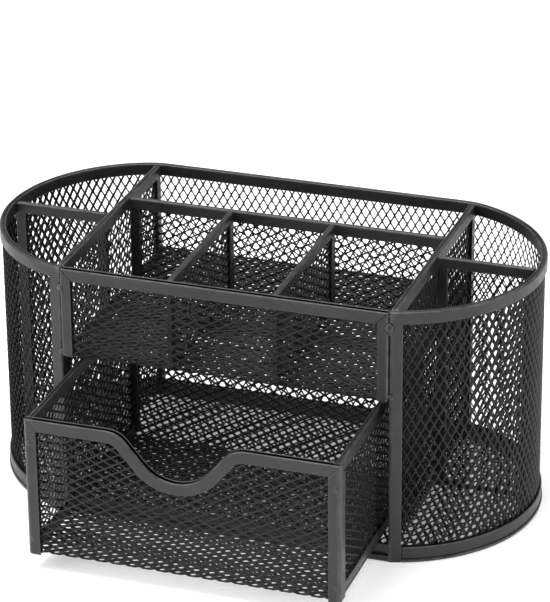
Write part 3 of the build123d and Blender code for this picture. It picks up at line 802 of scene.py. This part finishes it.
# dividers inside the tray
XD = HALF_C - CH
ZT = TRAY_Z + 0.8
panel("cross_divider_expanded_metal", ["cross_divider_mesh"], S, (-XD + 0.8, CROSS_Y, ZT), X, Z, -Y,
      2 * XD - 1.6, H_IN - ZT, seed=100)
rail("cross_divider_top_folded", ["cross_divider_top_strip"], S, (-XD, CROSS_Y, HEIGHT), (XD, CROSS_Y, HEIGHT), -Y, -Z,
     channel(W_TOP, CS + 0.15, CS, r=0.85), e0=1.5, e1=1.5, seed=101)
for side, sg in (("left", -1), ("right", 1)):
    rail("cross_divider_side_folded_" + side, ["cross_divider_side_strip_" + side], S,
         (sg * XD, CROSS_Y, ZT), (sg * XD, CROSS_Y, HEIGHT - W_TOP + 0.3), -Y, -sg * X, channel(W_SIDE, CS, CS, r=0.6), seed=103 + sg)
ys0, ys1 = TRAY_FACE + 2 * CH, CROSS_Y - CS
for side, x in (("left", SMALL_X[0]), ("right", SMALL_X[1])):
    panel("small_divider_expanded_metal_" + side, ["small_divider_mesh_" + side], S, (x, ys0 + 0.8, ZT), Y, Z, X,
          ys1 - ys0 - 1.6, H_IN - ZT, seed=110 + int(x))
    rail("small_divider_top_folded_" + side, ["small_divider_top_strip_" + side], S,
         (x, ys0, HEIGHT), (x, ys1, HEIGHT), X, -Z, channel(W_SMALL, CS, CS, r=0.8), e0=1.5, e1=1.7, seed=112 + int(x))
    rail("small_divider_front_folded_" + side, ["small_divider_front_strip_" + side], S,
         (x, ys0, ZT), (x, ys0, HEIGHT - W_SMALL), X, Y, channel(W_SIDE, CS, CS, r=0.6), seed=114 + int(x))
    rail("small_divider_back_folded_" + side, ["small_divider_back_strip_" + side], S,
         (x, ys1, ZT), (x, ys1, HEIGHT - W_SMALL), X, -Y, channel(W_SIDE, CS, CS, r=0.6), seed=116 + int(x))

# weld beads beside the posts
gx = TX + 0.35
blobs("stand_weld_beads", ["stand_weld_spots"], S, [
    ((gx + 0.2, TRAY_FACE + 0.5, 102.2), (2.0, 1.3, 2.1)),
    ((gx + 0.5, TRAY_FACE + 0.9, 100.0), (1.2, 1.0, 1.3)),
    ((-gx + 0.2, TRAY_FACE + 0.6, 100.4), (1.5, 1.0, 1.5)),
    ((-gx + 0.9, TRAY_FACE + 0.3, 98.6), (0.9, 0.7, 0.9)),
    ((gx + 0.6, TRAY_FACE + 0.8, 72.6), (1.7, 1.1, 1.2)),
    ((-gx - 0.2, TRAY_FACE + 0.9, 72.4), (1.3, 0.9, 1.1)),
], seed=5)

# ------------------------------------------------------------------ the drawer
db = DB - CS
dway = (Way(DYC, DZ1 - FOLD, -math.pi / 2).line(DZ1 - FOLD - DZ0 - 1.6).arc(1.2, math.pi / 2)
        .line(db - 1.2 - (DYC + 1.2)).arc(1.2, math.pi / 2).line(DZ1 - FOLD - DZ0 - 1.6))
DU, DV = 40, round(dway.length / SWD)
dhw = DX - 0.2 - FOLD + 0.1
NW = (NR1 + NR2) * math.sin(NA) + (ND - (NR1 + NR2) * (1 - math.cos(NA))) / math.tan(NA)


def drawer_map(a, b, w):
    y, z = dway.at(b * dway.length / DV, -w)
    return np.stack([(a / DU * 2 - 1) * dhw, y, z], 1)


def notch_z(x):
    """Height of the front's top edge over x."""
    d = np.abs(x - NX)
    sa, ca, ta = math.sin(NA), math.cos(NA), math.tan(NA)
    z = np.full(np.shape(d), DZ1)
    d1, d2 = NR2 * sa, NW - NR1 * sa
    low = DZ1 - ND + NR2 - np.sqrt(np.maximum(0, NR2 ** 2 - np.minimum(d, NR2) ** 2))
    mid = DZ1 - ND + NR2 * (1 - ca) + (d - d1) * ta
    top = DZ1 - NR1 + np.sqrt(np.maximum(0, NR1 ** 2 - np.clip(NW - d, 0, NR1) ** 2))
    z = np.where(d < d1, low, np.where(d < d2, mid, np.where(d < NW, top, z)))
    return z


def drawer_keep(i, j):
    step = dway.length / DV
    ok = np.ones(np.shape(i), bool)
    for di, dj in ((0, 0), (1, 0), (-1, 0), (0, -1), (0, 1)):
        s = np.maximum(0, (j + dj) * step)
        x = (np.clip(i + di, 0, DU) / DU * 2 - 1) * dhw
        z = DZ1 - FOLD - s
        front = s < DZ1 - FOLD - DZ0
        dip = np.minimum(notch_z(x), np.minimum(notch_z(x - 1.0), notch_z(x + 1.0)))
        ok &= ~(front & (z > dip - 0.85) & (dip < DZ1 - 0.3))
    return ok


lattice("drawer_expanded_metal", ["drawer_mesh"], D, DU, DV, drawer_map, keep=drawer_keep, seed=130, h=0.25,
        tilt=lambda i, j: np.where(j * dway.length / DV < 57, -0.03, -0.16),
        part=lambda i, j: np.where(j * dway.length / DV < 57, 0.825, 0.765))

# scalloped channel along the front
dn = math.radians(50)
edge_way = Way(-DX, DZ1, 0.0).line(NX - NW + DX)
flank = (ND - (NR1 + NR2) * (1 - math.cos(NA))) / math.sin(NA)
edge_way.arc(NR1, -NA).line(flank).arc(NR2, 2 * NA).line(flank).arc(NR1, -NA).line(DX - (NX + NW))
sec = channel(W_TOP, CH, 1.95, g=-0.40, gw=1.80, gd=2.2, r=0.62, deep=True)
st = edge_way.stations(3.0, 0.8)
st = np.unique(np.concatenate([st, [0.2, 0.6, 1.2], edge_way.length - np.array([0.2, 0.6, 1.2])]))
n, m = sec[:, 0], sec[:, 1]
ss = np.broadcast_to(st[:, None], (len(st), len(n)))
L0, L1 = edge_way.segs[0][1], edge_way.segs[-1][1]
LL = edge_way.length
mk = 0.14 + m[None, :]
s_adj = np.where(ss < L0, mk + ss * (L0 - mk) / L0, np.where(ss > LL - L1, LL - mk - (LL - ss) * (L1 - mk) / L1, ss))
nn = n[None, :] + np.where(n[None, :] > 0, wobble(ss, 140, 0.05), wobble(ss, 141, 0.05))
x, z = edge_way.at(s_adj, -np.broadcast_to(m, ss.shape))
skin("drawer_front_rim_folded", ["drawer_front_rim"], D, np.stack([x, DYC - nn, z], -1), sec)

for side, sg in (("left", -1), ("right", 1)):
    # corner strip: wraps round on to the side
    prof = [(sg * (DX - W_DSIDE), DF + 0.15, 0.7), (sg * (DX - W_DSIDE + 0.15), DF, 0.6), (sg * (DX - W_DSIDE + 0.6), DF, 0)]
    prof += [(sg * (DX - 1.5 - 0.4), DF, 0)]
    for k in range(7):
        a = math.pi / 2 * k / 6
        prof.append((sg * (DX - 1.5 + 1.5 * math.sin(a)), DF + 1.5 - 1.5 * math.cos(a), 0.2 + 0.6 * math.sin(2 * a)))
    prof += [(sg * DX, DF + 5.4, 0), (sg * DX, DF + 5.85, 0.7), (sg * (DX - 0.15), DF + 6.0, 0.6), (sg * (DX - 0.7), DF + 6.0, 0.2),
             (sg * (DX - 0.7), DF + 2 * CH, 0), (sg * (DX - W_DSIDE), DF + 2 * CH, 0.3),
             (sg * (DX - W_DSIDE), DF + 2 * CH - 0.55, 0.2), (sg * (DX - 0.95), DF + 2 * CH - 0.55, 0),
             (sg * (DX - 0.95), DF + 0.55, 0), (sg * (DX - W_DSIDE), DF + 0.55, 0.2)]
    prof = np.array(prof)
    zs = np.concatenate([[DZ0 - 0.2, DZ0, DZ0 + 0.3, DZ0 + 0.8], np.linspace(DZ0 + 3, DZ1 - 9, 20), [DZ1 - 5.5, DZ1 - 2.5, DZ1 - 0.8, DZ1]])
    zz = np.broadcast_to(zs[:, None], (len(zs), len(prof))).copy()
    px = np.broadcast_to(prof[None, :, 0], zz.shape).copy()
    py = np.broadcast_to(prof[None, :, 1], zz.shape).copy()
    # mitre at the top, by how far a point lies from the outer corner
    dist = DX - np.abs(px)
    t = (zz - zs[0]) / (DZ1 - zs[0])
    zz = zs[0] + t * (DZ1 - 0.14 - dist - zs[0])
    back = py > DF + 2 * CH + 0.01
    zz = np.where(back, zs[0] + t * (DZ1 - W_TOP - zs[0]), zz)
    # rounded foot
    foot = np.clip((DZ0 + 0.8 - zz) / 1.0, 0, 1)
    py = py + np.where(py < DF + 1.0, 0.35 * foot ** 2, 0)
    px = px - sg * np.where(np.abs(px) > DX - 0.4, 0.35 * foot ** 2, 0)
    py = py + wobble(zz, 150 + sg, 0.04) * (py < DF + 1)
    skin("drawer_front_folded_" + side, ["drawer_front_strip_" + side], D, np.stack([px, py, zz], -1),
         np.stack([prof[:, 0], prof[:, 1], prof[:, 2]], 1))
    xs = sg * (DX - FOLD - CS)
    y0, y1 = DF + 2 * CH, DB - 2 * CS
    panel("drawer_side_expanded_metal_" + side, ["drawer_side_mesh_" + side], D, (xs, y0, DZ0 + FOLD), Y, Z, X,
          y1 - y0, DZ1 - DZ0 - 2 * FOLD, seed=160 + sg, tilt=0.38, part=0.76)
    rail("drawer_side_top_folded_" + side, ["drawer_side_top_strip_" + side], D, (xs, y0 - 0.6, DZ1), (xs, y1, DZ1),
         sg * X, -Z, channel(W_TOP, CS, CS, g=-0.2, gw=0.36, gd=0.5, r=0.65), e1=1.2, seed=162 + sg)
    rail("drawer_side_bottom_folded_" + side, ["drawer_side_bottom_strip_" + side], D, (xs, y0, DZ0), (xs, y1, DZ0),
         sg * X, Z, lipped(W_TOP, CS, CS, fold=FOLD, lip=-0.15, cut=0.5), seed=164 + sg)
    rail("drawer_back_folded_" + side, ["drawer_back_strip_" + side], D, (sg * (DX - 0.2), db, DZ0 + 1.8),
         (sg * (DX - 0.2), db, DZ1 - W_TOP), Y, -sg * X, channel(W_SIDE, CS, CS, r=0.8), seed=166 + sg)
rail("drawer_back_top_folded", ["drawer_back_top_strip"], D, (-DX + 0.2, db, DZ1), (DX - 0.2, db, DZ1), Y, -Z,
     channel(W_TOP, CS, CS, g=0.2, gw=0.36, gd=0.5, r=0.65), e0=1.4, e1=1.4, seed=168)
blobs("drawer_weld_dimples", ["drawer_weld_spots"], D, [
    ((DX - 1.9, DF + 0.1, 56.2), (1.2, 0.45, 1.3)), ((-DX + 1.9, DF + 0.1, 56.0), (1.1, 0.4, 1.2)),
    ((DX - 1.9, DF + 0.1, 14.0), (1.1, 0.4, 1.2)), ((-DX + 1.9, DF + 0.1, 14.0), (1.1, 0.4, 1.2)),
], seed=31, lumps=0.10, lev=3)

# ------------------------------------------------------------------ floor, lights
fm = bpy.data.materials.new("floor_paper")
fm.use_nodes = True
fb = fm.node_tree.nodes["Principled BSDF"]
fb.inputs["Base Color"].default_value = (0.93, 0.93, 0.93, 1)
fb.inputs["Roughness"].default_value = 0.9
fb.inputs["Specular IOR Level"].default_value = 0.2
fb.inputs["Emission Color"].default_value = (1.0, 1.0, 1.0, 1)
fb.inputs["Emission Strength"].default_value = 0.18
me = bpy.data.meshes.new("floor")
me.from_pydata([(-6, -6, -0.00012), (6, -6, -0.00012), (6, 6, -0.00012), (-6, 6, -0.00012)], [], [(0, 1, 2, 3)])
me.materials.append(fm)
floor = bpy.data.objects.new("floor", me)
bpy.context.scene.collection.objects.link(floor)

world = bpy.data.worlds.new("studio")
bpy.context.scene.world = world
world.use_nodes = True
wt = world.node_tree
wt.nodes.clear()
wo = wt.nodes.new("ShaderNodeOutputWorld")
wb = wt.nodes.new("ShaderNodeBackground")
wb.inputs["Color"].default_value = (1.0, 1.0, 1.0, 1)
wc = wt.nodes.new("ShaderNodeTexCoord")
wx = wt.nodes.new("ShaderNodeSeparateXYZ")
wm = wt.nodes.new("ShaderNodeMapRange")
wm.interpolation_type = "SMOOTHSTEP"
wm.inputs["From Min"].default_value = 0.38
wm.inputs["From Max"].default_value = 0.90
wm.inputs["To Min"].default_value = 0.17
wm.inputs["To Max"].default_value = 1.15
wt.links.new(wc.outputs["Generated"], wx.inputs[0])
wt.links.new(wx.outputs["Z"], wm.inputs["Value"])
wl = wt.nodes.new("ShaderNodeMapRange")
wl.interpolation_type = "SMOOTHSTEP"
wl.inputs["From Min"].default_value = 0.10
wl.inputs["From Max"].default_value = 0.24
wl.inputs["To Min"].default_value = 0.97
wl.inputs["To Max"].default_value = 0.17
wt.links.new(wx.outputs["Z"], wl.inputs["Value"])
wj = wt.nodes.new("ShaderNodeMath")
wj.operation = "MAXIMUM"
wt.links.new(wm.outputs["Result"], wj.inputs[0])
wt.links.new(wl.outputs["Result"], wj.inputs[1])
wt.links.new(wj.outputs[0], wb.inputs["Strength"])
wt.links.new(wb.outputs["Background"], wo.inputs["Surface"])


def area(name, loc, target, size, power, size_y=None):
    ld = bpy.data.lights.new(name, "AREA")
    ld.energy = power
    ld.size = size
    if size_y:
        ld.shape = "RECTANGLE"
        ld.size_y = size_y
    lo = bpy.data.objects.new(name, ld)
    lo.location = loc
    lo.rotation_mode = "QUATERNION"
    lo.rotation_quaternion = (Vector(target) - Vector(loc)).to_track_quat("-Z", "Y")
    bpy.context.scene.collection.objects.link(lo)
    return lo


area("top_soft", (-0.15, -0.10, 1.30), (0, 0, 0.05), 1.0, 14.0, 1.0)
area("front_left", (-0.95, -1.15, 0.75), (-0.1, -0.25, 0.0), 0.8, 11.5, 0.7)
area("right_edge", (1.25, -0.15, 0.55), (0, 0, 0.05), 0.5, 5.8, 0.8)

# ------------------------------------------------------------------ camera
cam = bpy.data.cameras.new("camera")
cob = bpy.data.objects.new("camera", cam)
bpy.context.scene.collection.objects.link(cob)
r = Vector((0.945304, 0.326070, -0.008821))
u = Vector((-0.129121, 0.398890, 0.907863))
f = Vector((-0.299546, 0.857068, -0.419175))
r.normalize()
f = (f - r * f.dot(r)).normalized()
u = r.cross(f)
cob.matrix_world = Matrix(((r.x, u.x, -f.x, 0.399906), (r.y, u.y, -f.y, -1.114473), (r.z, u.z, -f.z, 0.635998), (0, 0, 0, 1)))
cam.sensor_fit = "AUTO"
cam.sensor_width = 36.0
cam.lens = 3276.406 * 36.0 / 602.0
cam.clip_start, cam.clip_end = 0.05, 30.0
bpy.context.scene.camera = cob
bpy.context.scene.view_settings.view_transform = "Standard"
